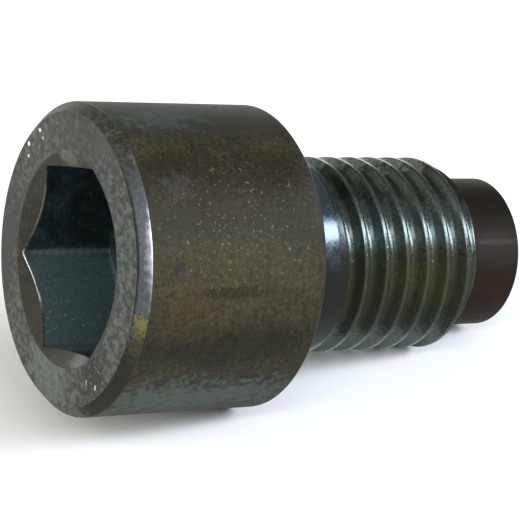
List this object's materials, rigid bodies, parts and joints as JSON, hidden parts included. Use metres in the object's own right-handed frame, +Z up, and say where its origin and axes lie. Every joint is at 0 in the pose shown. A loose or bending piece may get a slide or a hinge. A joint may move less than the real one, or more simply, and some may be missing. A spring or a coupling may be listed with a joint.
{
  "type": "cylinder head screw",
  "caption": "Dark steel M16 hexagon socket cylinder head screw with a plain neck, a short coarse right-hand thread and a plain dog point, lying on its side.",
  "frame": {"origin": "on the surface that the screw lies on, under the middle of its bounding box", "axes": "+X along the length of the lying screw toward its tip, +Z up, +Y across it"},
  "size_m": [0.042, 0.024, 0.0268],
  "materials": {
    "steel": "blackened and worn"
  },
  "bodies": {
    "root": {"screw": "steel"}
  },
  "joints": []
}
